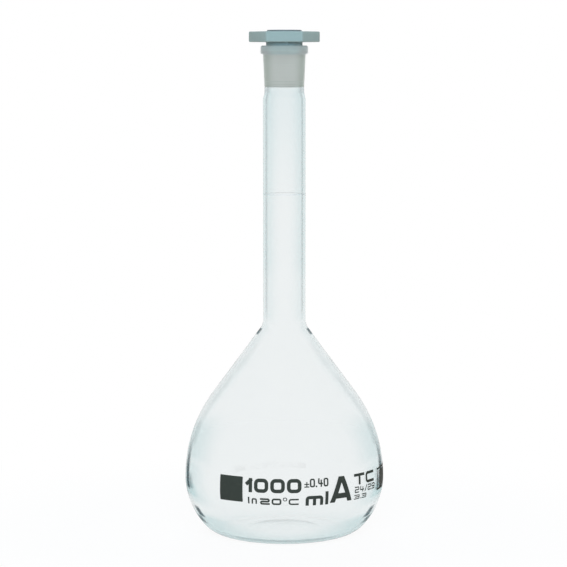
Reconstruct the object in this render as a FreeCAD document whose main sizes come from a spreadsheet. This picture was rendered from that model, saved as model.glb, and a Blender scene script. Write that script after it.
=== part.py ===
import FreeCAD, Part
import math
import os
import Sketcher
from FreeCAD import Rotation, Vector

# A one-litre volumetric flask with a tapered ground socket and a hollow moulded stopper.
# Millimetres, +Z up. The origin is the centre of the foot ring, on the surface the flask stands on.
# The front, which carries the marking patch, faces -Y.

# Driving dimensions: alias, value, what it measures
DIMENSIONS = (
    ("bulb_diameter", "125.2", "widest outside diameter of the bulb"),
    ("glass_wall", "1.56", "wall of the bulb and the neck"),
    ("foot_inset", "25.6", "bulb's widest circle in to the outer edge of the foot ring"),
    ("foot_width", "6", "width of the flat ring that the flask stands on"),
    ("punt_depth", "2.5", "rise of the pushed-up base at the axis"),
    ("punt_entry_radius", "60", "bend from the foot ring into the pushed-up base"),
    ("heel_radius", "18.9", "bend from the foot ring into the flank"),
    ("flank_radius", "44.7", "curve of the bulb below its widest circle"),
    ("shoulder_radius", "89", "curve of the bulb above its widest circle"),
    ("cone_angle", "36.4", "slope of the shoulder cone from upright, in degrees"),
    ("seal_radius", "10", "bend from the shoulder cone into the neck"),
    ("neck_stub", "5", "upright part of the bulb above that bend, up to its seal"),
    ("neck_diameter", "26.6", "outside diameter of the neck"),
    ("neck_length", "133.1", "neck tube between its two seals"),
    ("mark_height", "73.9", "middle of the graduation line above the neck's lower seal"),
    ("mark_width", "0.5", "width of the graduation line"),
    ("enamel_thickness", "0.1", "fired enamel of the line and the patch"),
    ("patch_width", "16.4", "width of the marking patch around the bulb"),
    ("patch_rise", "9.4", "top of the patch above the bulb's widest circle"),
    ("patch_drop", "6.2", "bottom of the patch below that circle"),
    ("patch_azimuth", "-31.5", "middle of the patch, in degrees to the right of the front"),
    ("joint_diameter", "24", "inside diameter of the ground socket at its mouth"),
    ("joint_taper", "0.1", "loss of diameter for each unit of depth"),
    ("ground_length", "29", "length of the ground taper"),
    ("blend_height", "4", "bend between the neck and the ground taper"),
    ("waist_wall", "1.75", "socket wall at the small end of the taper"),
    ("mouth_wall", "1.6", "socket wall just under the rim"),
    ("waist_rounding", "12", "rounding of the socket's waist"),
    ("rim_overhang", "1.55", "rolled rim beyond the socket's outside just under it"),
    ("rim_height", "5.35", "height of the rolled rim"),
    ("rim_rounding", "1.1", "rounding of the rim's outer edges"),
    ("mouth_rounding", "0.6", "rounding of the mouth's inner edge"),
    ("taper_clearance", "0.06", "gap between the plug and the socket, square to the axis"),
    ("plug_length", "25.6", "depth of the plug below the rim"),
    ("plug_rounding", "0.8", "rounding of the plug's lower edge"),
    ("head_gap", "2.2", "height of the relief between the rim and the stopper's head"),
    ("relief_depth", "0.6", "depth of that relief"),
    ("head_flats", "38.6", "stopper's head across its flats"),
    ("head_thickness", "6.5", "thickness of the stopper's head"),
    ("corner_rounding", "1.4", "rounding of the head's six corners"),
    ("head_rounding", "0.7", "rounding of the head's upper and lower edges"),
    ("boss_wall", "2.75", "width of the raised ring around the stopper's well"),
    ("boss_height", "1", "height of that ring above the head"),
    ("well_wall", "2.6", "stopper wall around the well at the plug's small end"),
    ("well_floor", "3", "thickness of the plug's closed end"),
)

doc = FreeCAD.newDocument("volumetric_flask")
sheet = doc.addObject("Spreadsheet::Sheet", "Sizes")
for row, (alias, number, meaning) in enumerate(DIMENSIONS, start=1):
    sheet.set(f"A{row}", meaning)
    sheet.set(f"B{row}", number)
    sheet.setAlias(f"B{row}", alias)
doc.recompute()


def size(alias):
    return float(sheet.get(alias))


def worked_out(formula):
    result = sheet.evalExpression(formula)
    return float(getattr(result, "Value", result))


# Formulas that more than one piece uses
BULB_RADIUS = "Sizes.bulb_diameter / 2"
NECK_RADIUS = "Sizes.neck_diameter / 2"
NECK_BORE_RADIUS = "(Sizes.neck_diameter / 2 - Sizes.glass_wall)"
MOUTH_RADIUS = "Sizes.joint_diameter / 2"
PLUG_MOUTH_RADIUS = "(Sizes.joint_diameter / 2 - Sizes.taper_clearance)"
PLUG_END_RADIUS = f"({PLUG_MOUTH_RADIUS} - Sizes.joint_taper / 2 * Sizes.plug_length)"
WELL_RADIUS = f"({PLUG_END_RADIUS} - Sizes.well_wall)"
HEAD_TOP = "(Sizes.head_gap + Sizes.head_thickness)"
BOSS_TOP = f"({HEAD_TOP} + Sizes.boss_height)"
NECK_BASE = "bulb_outline.Constraints.seal_height / 1 mm"
SOCKET_BASE = f"({NECK_BASE} + Sizes.neck_length)"
RIM_TOP = f"({SOCKET_BASE} + Sizes.blend_height + Sizes.ground_length)"


# Sketcher's own numbers: the ends and centre of an element, the origin and the two axes
START, END, CENTRE = 1, 2, 3
ORIGIN, ACROSS, UPRIGHT = -1, -1, -2

# Two measures closer than this are the same
NEAR = 1e-4


# Helpers for bodies, sketches and features
def new_body(label):
    body = doc.addObject("PartDesign::Body", label)
    body.Label = label
    return body


def new_sketch(body, name, plane_role):
    sketch = body.newObject("Sketcher::SketchObject", name)
    plane = next(item for item in body.Origin.OriginFeatures if item.Role == plane_role)
    sketch.AttachmentSupport = [(plane, "")]
    sketch.MapMode = "FlatFace"
    return sketch


def relate(sketch, kind, *elements):
    sketch.addConstraint(Sketcher.Constraint(kind, *elements))


def dimension(sketch, name, formula, kind, *elements):
    start = worked_out(formula)
    if kind == "Angle":
        start = math.radians(start)
    index = sketch.addConstraint(Sketcher.Constraint(kind, *elements, start))
    sketch.renameConstraint(index, name)
    sketch.setExpression(f"Constraints.{name}", formula)


def hold(sketch, name, formula, direction, element, point):
    """A point held at a distance from the origin, or on the axis where that distance is nothing."""
    if worked_out(formula) == 0:
        relate(sketch, "PointOnObject", element, point, UPRIGHT if direction == "DistanceX" else ACROSS)
    else:
        dimension(sketch, name, formula, direction, ORIGIN, START, element, point)


def reading(sketch, name, start, kind, *elements):
    """A driven dimension, which other pieces take their place from."""
    index = sketch.addConstraint(Sketcher.Constraint(kind, *elements, start))
    sketch.setDriving(index, False)
    sketch.renameConstraint(index, name)


def arc(centre, radius, first_degrees, last_degrees):
    circle = Part.Circle(Vector(*centre, 0), Vector(0, 0, 1), radius)
    return Part.ArcOfCircle(circle, math.radians(first_degrees), math.radians(last_degrees))


def line(first, last):
    return Part.LineSegment(Vector(*first, 0), Vector(*last, 0))


def polygon(sketch, points):
    """A closed run of straight lines, line 0 starting at the first point."""
    for index, point in enumerate(points):
        sketch.addGeometry(line(point, points[(index + 1) % len(points)]))
    for index in range(len(points)):
        relate(sketch, "Coincident", index, END, (index + 1) % len(points), START)


def revolve(body, sketch, name, kind="PartDesign::Revolution"):
    feature = body.newObject(kind, name)
    feature.Profile = sketch
    feature.ReferenceAxis = (sketch, ["V_Axis"])
    feature.Angle = 360
    doc.recompute()
    return feature


def pad(body, sketch, name, height):
    feature = body.newObject("PartDesign::Pad", name)
    feature.Profile = sketch
    feature.setExpression("Length", height)
    doc.recompute()
    return feature


def fillet(body, name, radius, base, edges):
    feature = body.newObject("PartDesign::Fillet", name)
    feature.Base = (base, edges)
    feature.setExpression("Radius", radius)
    doc.recompute()
    return feature


def ring_edges(feature, *rings):
    """Names of the round edges at the given radius and height formulas."""
    names = []
    for radius_formula, height_formula in rings:
        radius, height = worked_out(radius_formula), worked_out(height_formula)
        for number, edge in enumerate(feature.Shape.Edges, start=1):
            round_edge = isinstance(edge.Curve, Part.Circle)
            if round_edge and math.dist((edge.Curve.Radius, edge.Curve.Center.z), (radius, height)) < NEAR:
                names.append(f"Edge{number}")
    return names


def stand_at(body, height):
    body.setExpression("Placement.Base.z", height)
    doc.recompute()


# Bulb: the outside is turned from its outline, and the cavity from the same outline set in by the wall
def make_bulb():
    body = new_body("bulb")
    outside = new_sketch(body, "bulb_outline", "XZ_Plane")
    draw_bulb(outside, "0")
    blank = revolve(body, outside, "bulb_blank")
    inside = new_sketch(body, "bulb_cavity", "XZ_Plane")
    draw_bulb(inside, "Sizes.glass_wall")
    cavity = revolve(body, inside, "cavity", "PartDesign::Groove")
    if cavity.Shape.Volume >= blank.Shape.Volume:
        raise RuntimeError("the bulb's cavity cut nothing")
    return body


def draw_bulb(sketch, inset):
    """The bulb's outline from the axis under the base up to the neck's seal, set in by a wall formula."""
    wall = worked_out(inset)
    bulb_r, neck_r = worked_out(BULB_RADIUS), worked_out(NECK_RADIUS)
    heel_r, flank_r = size("heel_radius"), size("flank_radius")
    shoulder_r, seal_r = size("shoulder_radius"), size("seal_radius")
    entry_r, cone = size("punt_entry_radius"), math.radians(size("cone_angle"))
    foot_out = bulb_r - size("foot_inset")
    foot_in = foot_out - size("foot_width")
    heel_turn = math.asin((flank_r - size("foot_inset")) / (flank_r - heel_r))
    equator = heel_r * (1 - math.cos(heel_turn)) + flank_r * math.cos(heel_turn)
    punt_turn = 2 * math.atan(size("punt_depth") / foot_in)
    punt_r = foot_in / math.sin(punt_turn) - entry_r
    shoulder_x = bulb_r - shoulder_r
    cone_foot_x = shoulder_x + (shoulder_r - wall) * math.cos(cone)
    cone_foot_z = equator + (shoulder_r - wall) * math.sin(cone)
    cone_top_x = neck_r + seal_r - (seal_r + wall) * math.cos(cone)
    cone_top_z = cone_foot_z + (cone_foot_x - cone_top_x) / math.tan(cone)
    neck_foot = cone_top_z + (seal_r + wall) * math.sin(cone)
    neck_top = neck_foot + size("neck_stub")
    bore = neck_r - wall
    apex = size("punt_depth") + wall
    heel_end, punt_end, cone_end = math.degrees(heel_turn), math.degrees(punt_turn), math.degrees(cone)

    dome, entry, foot, heel, flank, shoulder, slope, seal, stub, top, axis = range(11)
    sketch.addGeometry([
        arc((0, size("punt_depth") - punt_r), punt_r + wall, 90 - punt_end, 90),
        arc((foot_in, entry_r), entry_r - wall, 270 - punt_end, 270),
        line((foot_in, wall), (foot_out, wall)),
        arc((foot_out, heel_r), heel_r - wall, -90, heel_end - 90),
        arc((bulb_r - flank_r, equator), flank_r - wall, heel_end - 90, 0),
        arc((shoulder_x, equator), shoulder_r - wall, 0, cone_end),
        line((cone_foot_x, cone_foot_z), (cone_top_x, cone_top_z)),
        arc((neck_r + seal_r, neck_foot), seal_r + wall, 180, 180 + cone_end),
        line((bore, neck_foot), (bore, neck_top)),
        line((bore, neck_top), (0, neck_top)),
        line((0, neck_top), (0, apex)),
    ])
    relate(sketch, "Tangent", dome, START, entry, START)
    relate(sketch, "Tangent", entry, END, foot, START)
    for lower, upper in ((foot, heel), (heel, flank), (flank, shoulder), (shoulder, slope)):
        relate(sketch, "Tangent", lower, END, upper, START)
    relate(sketch, "Tangent", slope, END, seal, END)
    relate(sketch, "Tangent", seal, START, stub, START)
    for lower, upper in ((stub, top), (top, axis)):
        relate(sketch, "Coincident", lower, END, upper, START)
    relate(sketch, "Coincident", axis, END, dome, END)
    for level in (foot, top):
        relate(sketch, "Horizontal", level)
    for upright in (stub, axis):
        relate(sketch, "Vertical", upright)
    relate(sketch, "PointOnObject", axis, START, UPRIGHT)
    relate(sketch, "PointOnObject", dome, CENTRE, UPRIGHT)
    relate(sketch, "Horizontal", flank, CENTRE, flank, END)

    foot_edge = f"{BULB_RADIUS} - Sizes.foot_inset"
    hold(sketch, "foot_level", inset, "DistanceY", foot, START)
    hold(sketch, "foot_inside", f"{foot_edge} - Sizes.foot_width", "DistanceX", foot, START)
    hold(sketch, "foot_outside", foot_edge, "DistanceX", foot, END)
    hold(sketch, "apex", f"Sizes.punt_depth + {inset}", "DistanceY", dome, END)
    hold(sketch, "widest", f"{BULB_RADIUS} - {inset}", "DistanceX", flank, END)
    hold(sketch, "neck", f"{NECK_RADIUS} - {inset}", "DistanceX", stub, START)
    dimension(sketch, "punt_entry", f"Sizes.punt_entry_radius - {inset}", "Radius", entry)
    dimension(sketch, "heel", f"Sizes.heel_radius - {inset}", "Radius", heel)
    dimension(sketch, "flank", f"Sizes.flank_radius - {inset}", "Radius", flank)
    dimension(sketch, "shoulder", f"Sizes.shoulder_radius - {inset}", "Radius", shoulder)
    dimension(sketch, "seal", f"Sizes.seal_radius + {inset}", "Radius", seal)
    dimension(sketch, "slope", "(90 + Sizes.cone_angle) * 1 deg", "Angle", slope)
    dimension(sketch, "stub", "Sizes.neck_stub", "DistanceY", stub, START, stub, END)
    reading(sketch, "seal_height", neck_top, "DistanceY", ORIGIN, START, stub, END)
    reading(sketch, "equator_height", equator, "DistanceY", ORIGIN, START, flank, END)


# Neck: a plain tube between the bulb and the socket
def make_neck():
    body = new_body("neck")
    sketch = ring_sketch(body, "neck_section", NECK_RADIUS, NECK_BORE_RADIUS)
    pad(body, sketch, "neck_tube", "Sizes.neck_length")
    stand_at(body, NECK_BASE)
    return body


# Graduation line: a thin band of enamel on the outside of the neck
def make_graduation_ring():
    body = new_body("graduation_ring")
    outside = f"{NECK_RADIUS} + Sizes.enamel_thickness"
    sketch = ring_sketch(body, "mark_section", outside, NECK_RADIUS)
    pad(body, sketch, "mark_band", "Sizes.mark_width")
    stand_at(body, f"{NECK_BASE} + Sizes.mark_height - Sizes.mark_width / 2")
    return body


def ring_sketch(body, name, outer, inner):
    sketch = new_sketch(body, name, "XY_Plane")
    for index, (label, formula) in enumerate((("outside", outer), ("inside", inner))):
        sketch.addGeometry(Part.Circle(Vector(), Vector(0, 0, 1), worked_out(formula)))
        relate(sketch, "Coincident", index, CENTRE, ORIGIN, START)
        dimension(sketch, label, formula, "Radius", index)
    return sketch


# Marking patch: a square of enamel that follows the bulb's curve
def make_marking_patch():
    body = new_body("marking_patch")
    sketch = new_sketch(body, "patch_section", "XZ_Plane")
    equator_formula = "bulb_outline.Constraints.equator_height / 1 mm"
    bulb_r, equator = worked_out(BULB_RADIUS), worked_out(equator_formula)
    flank_r, shoulder_r = size("flank_radius"), size("shoulder_radius")
    rise, drop, enamel = size("patch_rise"), size("patch_drop"), size("enamel_thickness")
    flank_centre, shoulder_centre = (bulb_r - flank_r, equator), (bulb_r - shoulder_r, equator)

    def low_arc(radius):
        return arc(flank_centre, radius, -math.degrees(math.asin(drop / radius)), 0)

    def high_arc(radius):
        return arc(shoulder_centre, radius, 0, math.degrees(math.asin(rise / radius)))

    def reach(radius, height):
        return math.sqrt(radius ** 2 - height ** 2)

    low_x = [flank_centre[0] + reach(flank_r + skin, drop) for skin in (0, enamel)]
    high_x = [shoulder_centre[0] + reach(shoulder_r + skin, rise) for skin in (0, enamel)]
    low_back, high_back, low_front, high_front, top, bottom = range(6)
    sketch.addGeometry([
        low_arc(flank_r),
        high_arc(shoulder_r),
        low_arc(flank_r + enamel),
        high_arc(shoulder_r + enamel),
        line((high_x[0], equator + rise), (high_x[1], equator + rise)),
        line((low_x[0], equator - drop), (low_x[1], equator - drop)),
    ])
    for low, high, end in ((low_back, high_back, START), (low_front, high_front, END)):
        relate(sketch, "Tangent", low, END, high, START)
        relate(sketch, "Coincident", high, END, top, end)
        relate(sketch, "Coincident", low, START, bottom, end)
    relate(sketch, "Coincident", low_back, CENTRE, low_front, CENTRE)
    relate(sketch, "Coincident", high_back, CENTRE, high_front, CENTRE)
    relate(sketch, "Horizontal", low_back, CENTRE, low_back, END)
    relate(sketch, "Horizontal", top)
    relate(sketch, "Horizontal", bottom)
    dimension(sketch, "widest", BULB_RADIUS, "DistanceX", ORIGIN, START, low_back, END)
    dimension(sketch, "equator", equator_formula, "DistanceY", ORIGIN, START, low_back, END)
    dimension(sketch, "flank", "Sizes.flank_radius", "Radius", low_back)
    dimension(sketch, "shoulder", "Sizes.shoulder_radius", "Radius", high_back)
    dimension(sketch, "skin", "Sizes.flank_radius + Sizes.enamel_thickness", "Radius", low_front)
    dimension(sketch, "rise", "Sizes.patch_rise", "DistanceY", low_back, END, high_back, END)
    dimension(sketch, "drop", "Sizes.patch_drop", "DistanceY", low_back, START, low_back, END)

    skin = revolve(body, sketch, "patch_skin")
    skin.Midplane = True
    skin.setExpression("Angle", f"Sizes.patch_width / ({BULB_RADIUS}) * 180 / pi * 1 deg")
    body.Placement.Rotation = Rotation(Vector(0, 0, 1), size("patch_azimuth") - 90)
    body.setExpression("Placement.Rotation.Angle", "(Sizes.patch_azimuth - 90) * 1 deg")
    doc.recompute()
    return body


# Ground socket: tapered inside, waisted outside, with a rolled rim
def make_ground_socket():
    body = new_body("ground_socket")
    sketch = new_sketch(body, "socket_section", "XZ_Plane")
    waist_bore = f"({MOUTH_RADIUS} - Sizes.joint_taper / 2 * Sizes.ground_length)"
    waist = f"({waist_bore} + Sizes.waist_wall)"
    under_rim = f"({MOUTH_RADIUS} - Sizes.joint_taper / 2 * Sizes.rim_height + Sizes.mouth_wall)"
    rim = f"({under_rim} + Sizes.rim_overhang)"
    mouth_height = "(Sizes.blend_height + Sizes.ground_length)"
    rim_foot = f"({mouth_height} - Sizes.rim_height)"
    corners = (
        ("bore_seal", NECK_BORE_RADIUS, "0"),
        ("neck_seal", NECK_RADIUS, "0"),
        ("waist", waist, "Sizes.blend_height"),
        ("under_rim", under_rim, rim_foot),
        ("rim_foot", rim, rim_foot),
        ("rim_top", rim, mouth_height),
        ("mouth", MOUTH_RADIUS, mouth_height),
        ("waist_bore", waist_bore, "Sizes.blend_height"),
    )
    section(sketch, corners)
    turned = revolve(body, sketch, "socket_turned")
    waist_edges = ring_edges(turned, (waist, "Sizes.blend_height"), (waist_bore, "Sizes.blend_height"))
    waisted = fillet(body, "waist_rounding", "Sizes.waist_rounding", turned, waist_edges)
    rim_edges = ring_edges(waisted, (rim, rim_foot), (rim, mouth_height))
    roll = "min(Sizes.rim_rounding; 0.9 * Sizes.rim_overhang)"
    rolled = fillet(body, "rim_rounding", roll, waisted, rim_edges)
    mouth_edge = ring_edges(rolled, (MOUTH_RADIUS, mouth_height))
    fillet(body, "mouth_rounding", "Sizes.mouth_rounding", rolled, mouth_edge)
    stand_at(body, SOCKET_BASE)
    return body


def section(sketch, corners):
    """A straight-sided section, each corner held at its radius and height formulas."""
    polygon(sketch, [(worked_out(radius), worked_out(height)) for name, radius, height in corners])
    for index, (name, radius, height) in enumerate(corners):
        hold(sketch, f"{name}_radius", radius, "DistanceX", index, START)
        hold(sketch, f"{name}_height", height, "DistanceY", index, START)


# Stopper: a tapered plug under a hexagonal head, with a well moulded into it from the top
def make_stopper():
    body = new_body("stopper")
    plug_sketch = new_sketch(body, "plug_section", "XZ_Plane")
    relief = f"({PLUG_MOUTH_RADIUS} - Sizes.relief_depth)"
    section(plug_sketch, (
        ("tip", "0", "-Sizes.plug_length"),
        ("end", PLUG_END_RADIUS, "-Sizes.plug_length"),
        ("mouth", PLUG_MOUTH_RADIUS, "0"),
        ("relief_foot", relief, "0"),
        ("relief_top", relief, "Sizes.head_gap"),
        ("axis_top", "0", "Sizes.head_gap"),
    ))
    plug = revolve(body, plug_sketch, "plug")
    plug_edge = ring_edges(plug, (PLUG_END_RADIUS, "-Sizes.plug_length"))
    fillet(body, "plug_rounding", "Sizes.plug_rounding", plug, plug_edge)

    head_sketch = new_sketch(body, "head_hexagon", "XY_Plane")
    head_sketch.setExpression("AttachmentOffset.Base.z", "Sizes.head_gap")
    hexagon(head_sketch, size("head_flats") / math.sqrt(3))
    head = pad(body, head_sketch, "head", "Sizes.head_thickness")
    rounded = fillet(body, "corner_rounding", "Sizes.corner_rounding", head, corner_edges(head))
    fillet(body, "head_rounding", "Sizes.head_rounding", rounded, head_rims(rounded))

    boss_sketch = disc_sketch(body, "boss_section", f"{WELL_RADIUS} + Sizes.boss_wall", HEAD_TOP)
    boss = pad(body, boss_sketch, "boss", "Sizes.boss_height")
    solid_volume = boss.Shape.Volume
    well = body.newObject("PartDesign::Pocket", "well")
    well.Profile = disc_sketch(body, "well_section", WELL_RADIUS, BOSS_TOP)
    well.setExpression("Length", f"{BOSS_TOP} + Sizes.plug_length - Sizes.well_floor")
    doc.recompute()
    if well.Shape.Volume >= solid_volume:
        raise RuntimeError("the stopper's well cut nothing")
    stand_at(body, RIM_TOP)
    return body


def hexagon(sketch, corner_radius):
    """A hexagon about the origin with two of its flats facing front and back."""
    turns = [math.radians(60 * corner) for corner in range(6)]
    polygon(sketch, [(corner_radius * math.cos(turn), corner_radius * math.sin(turn)) for turn in turns])
    back_flat, front_flat, corner_circle = 1, 4, 6
    sketch.addGeometry(Part.Circle(Vector(), Vector(0, 0, 1), corner_radius), True)
    relate(sketch, "Coincident", corner_circle, CENTRE, ORIGIN, START)
    for side in range(6):
        relate(sketch, "PointOnObject", side, START, corner_circle)
    for side in range(1, 6):
        relate(sketch, "Equal", 0, side)
    relate(sketch, "Horizontal", back_flat)
    dimension(sketch, "flats", "Sizes.head_flats", "DistanceY", front_flat, START, back_flat, START)


def corner_edges(feature):
    """The six upright edges of the head."""
    names = []
    for number, edge in enumerate(feature.Shape.Edges, start=1):
        low, high = edge.Vertexes[0].Point, edge.Vertexes[-1].Point
        upright = math.dist(low[:2], high[:2]) < NEAR and isinstance(edge.Curve, Part.Line)
        if upright and math.hypot(*low[:2]) > size("head_flats") / 2:
            names.append(f"Edge{number}")
    return names


def head_rims(feature):
    """The outlines of the head's upper and lower faces."""
    inside = size("head_flats") / 2 - NEAR
    heights = (size("head_gap"), worked_out(HEAD_TOP))
    names = []
    for number, edge in enumerate(feature.Shape.Edges, start=1):
        ends = [vertex.Point for vertex in edge.Vertexes]
        outside = min(math.hypot(*end[:2]) for end in ends) > inside
        if outside and any(all(abs(end.z - height) < NEAR for end in ends) for height in heights):
            names.append(f"Edge{number}")
    return names


def disc_sketch(body, name, radius, height):
    sketch = new_sketch(body, name, "XY_Plane")
    sketch.setExpression("AttachmentOffset.Base.z", height)
    sketch.addGeometry(Part.Circle(Vector(), Vector(0, 0, 1), worked_out(radius)))
    relate(sketch, "Coincident", 0, CENTRE, ORIGIN, START)
    dimension(sketch, "edge", radius, "Radius", 0)
    return sketch


makers = (make_bulb, make_neck, make_graduation_ring, make_marking_patch, make_ground_socket, make_stopper)
pieces = [make() for make in makers]
doc.recompute()

for item in doc.Objects:
    if "Invalid" in item.State or "Error" in item.State:
        raise RuntimeError(f"{item.Label} failed: {item.State}")
    if item.TypeId == "Sketcher::SketchObject" and not item.FullyConstrained:
        raise RuntimeError(f"{item.Label} has loose elements")
for piece in pieces:
    if piece.Shape.isNull() or not piece.Shape.isValid() or len(piece.Shape.Solids) != 1:
        raise RuntimeError(f"{piece.Label} is not one sound solid")

os.makedirs("parts", exist_ok=True)
for piece in pieces:
    piece.Shape.exportStep(f"parts/{piece.Label}.step")
    box = piece.Shape.BoundBox
    print(f"{piece.Label}: {piece.Shape.Volume:.1f} mm3, z {box.ZMin:.2f} to {box.ZMax:.2f}")
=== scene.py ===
import math

import bmesh
import bpy
from mathutils import Matrix, Vector


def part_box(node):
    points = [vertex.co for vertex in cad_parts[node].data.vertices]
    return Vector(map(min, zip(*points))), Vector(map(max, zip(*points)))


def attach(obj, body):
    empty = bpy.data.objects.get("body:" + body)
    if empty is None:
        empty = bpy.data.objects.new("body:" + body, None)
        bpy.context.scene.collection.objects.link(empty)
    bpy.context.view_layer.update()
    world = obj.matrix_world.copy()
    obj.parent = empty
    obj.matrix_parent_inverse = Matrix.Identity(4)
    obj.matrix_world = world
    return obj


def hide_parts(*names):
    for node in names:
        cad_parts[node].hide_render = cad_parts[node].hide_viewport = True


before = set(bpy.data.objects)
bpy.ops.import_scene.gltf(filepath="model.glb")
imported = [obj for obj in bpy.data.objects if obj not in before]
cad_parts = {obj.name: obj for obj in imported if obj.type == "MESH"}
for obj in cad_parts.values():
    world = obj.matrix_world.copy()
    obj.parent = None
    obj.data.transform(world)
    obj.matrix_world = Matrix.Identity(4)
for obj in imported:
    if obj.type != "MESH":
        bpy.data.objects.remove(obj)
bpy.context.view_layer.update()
scene = bpy.context.scene

mm = 0.001
fullTurn = 2 * math.pi
upAxis = Vector((0, 0, 1))
weldGap = 0.0005 * mm  # points closer than this are one point
sharpAngle = math.radians(35)  # edges that turn by more than this stay crisp


def rgb(red, green, blue):
    return (red, green, blue, 1.0)


pureWhite = rgb(1, 1, 1)


# Shader wires: sums on a wire add Math nodes
class Wire:
    def __init__(self, tree, socket=None):
        self.tree = tree
        self.socket = socket

    def __getitem__(self, name):  # another output of the same node
        return Wire(self.tree, self.socket.node.outputs[name])

    def node(self, kind, settings=None, sockets=None, out=0):
        made = self.tree.nodes.new(kind)
        for name, value in (settings or {}).items():
            setattr(made, name, value)
        for name, value in (sockets or {}).items():
            if isinstance(value, Wire):
                self.tree.links.new(value.socket, made.inputs[name])
            else:
                made.inputs[name].default_value = value
        return Wire(self.tree, made.outputs[out] if made.outputs else None)

    def maths(self, operation, first, second=0.0, third=0.0):
        return self.node("ShaderNodeMath", {"operation": operation}, {0: first, 1: second, 2: third})

    def __add__(self, other):
        return self.maths("ADD", self, other)

    __radd__ = __add__

    def __mul__(self, other):
        return self.maths("MULTIPLY", self, other)

    __rmul__ = __mul__

    def __sub__(self, other):
        return self.maths("SUBTRACT", self, other)

    def __rsub__(self, other):
        return self.maths("SUBTRACT", other, self)

    def ramp(self, low, high, start=0.0, end=1.0):  # smooth step from start to end
        return self.node("ShaderNodeMapRange", {"interpolation_type": "SMOOTHSTEP"},
                         {0: self, 1: low, 2: high, 3: start, 4: end})

    def hump(self, low, lowFull, highFull, high):  # up to 1 and down again
        return self.ramp(low, lowFull) * self.ramp(highFull, high, 1, 0)

    def noise(self, place, scale, detail=3.0, roughness=0.55):
        return self.node("ShaderNodeTexNoise", {},
                         {"Vector": place, "Scale": scale, "Detail": detail, "Roughness": roughness})

    def tint(self, first, second):  # this wire mixes two colours
        return self.node("ShaderNodeMix", {"data_type": "RGBA"}, {0: self, 6: first, 7: second}, out=2)

    def bump(self, strength, distance):
        return self.node("ShaderNodeBump", {}, {"Strength": strength, "Distance": distance, "Height": self})


def newMaterial(name):
    material = bpy.data.materials.new(name)
    material.use_nodes = True
    material.node_tree.nodes.clear()
    wire = Wire(material.node_tree)
    return material, wire, wire.node("ShaderNodeTexCoord", out="Object")


def closeMaterial(wire, surface, volume=None):
    sockets = {"Surface": surface}
    if volume:
        sockets["Volume"] = volume
    wire.node("ShaderNodeOutputMaterial", {}, sockets)


# Pieces
def makePiece(name, bm, material, body, slot, *nodes):
    bmesh.ops.remove_doubles(bm, verts=bm.verts, dist=weldGap)
    bmesh.ops.recalc_face_normals(bm, faces=bm.faces)
    mesh = bpy.data.meshes.new(name)
    bm.to_mesh(mesh)
    bm.free()
    mesh.materials.append(material)
    mesh.shade_smooth()
    mesh.set_sharp_from_angle(angle=sharpAngle)
    piece = bpy.data.objects.new(name, mesh)
    scene.collection.objects.link(piece)
    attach(piece, body)
    if nodes:
        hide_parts(*nodes)
    print("made", name, len(mesh.polygons), "faces")


def liftNew(bm, made, height):  # raises the points that an extrude has made
    points = [part for part in made["geom"] if isinstance(part, bmesh.types.BMVert)]
    bmesh.ops.translate(bm, vec=(0, 0, height), verts=points)


# Sections are drawn in the XZ plane, point after point, and then spun about the flask's axis
def runOn(bm, last, heading, length):
    tip = bmesh.ops.extrude_vert_indiv(bm, verts=[last])["verts"][0]
    tip.co += length * Vector((math.cos(heading), 0, math.sin(heading)))
    return tip


def runTo(bm, last, radius, height):
    tip = bmesh.ops.extrude_vert_indiv(bm, verts=[last])["verts"][0]
    tip.co = (radius, 0, height)
    return tip


def bendOn(bm, last, heading, radius, turn, step=math.radians(2.5)):
    side = math.copysign(radius, turn)
    centre = last.co + side * Vector((-math.sin(heading), 0, math.cos(heading)))
    steps = max(2, math.ceil(abs(turn) / step))
    bent = bmesh.ops.spin(bm, geom=[last], cent=centre, axis=(0, -1, 0), angle=turn, steps=steps)
    return bent["geom_last"][0]


def roundCorner(bm, corner, radius, segments=6):
    ends = [edge.other_vert(corner).co - corner.co for edge in corner.link_edges]
    reach = radius / math.tan(ends[0].angle(ends[1]) / 2)  # from the corner to where the arc starts
    bmesh.ops.bevel(bm, geom=[corner], offset=reach, offset_type="OFFSET", segments=segments,
                    profile=0.5, affect="VERTICES", material=-1)


def spinSection(bm, steps):
    bmesh.ops.spin(bm, geom=bm.verts[:] + bm.edges[:], cent=(0, 0, 0), axis=upAxis,
                   angle=fullTurn, steps=steps, use_merge=True)


def closedSection(bm, corners):  # each corner is a radius and a height
    radius, height = corners[0]
    tip = bm.verts.new((radius, 0, height))
    for corner in corners[1:] + corners[:1]:
        tip = runTo(bm, tip, *corner)
    bmesh.ops.remove_doubles(bm, verts=bm.verts, dist=weldGap)


# Glass: the bulb, the neck and the ground socket are one wall, so they are drawn as one section
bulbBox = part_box("bulb")
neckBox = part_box("neck")
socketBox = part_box("ground_socket")

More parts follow.
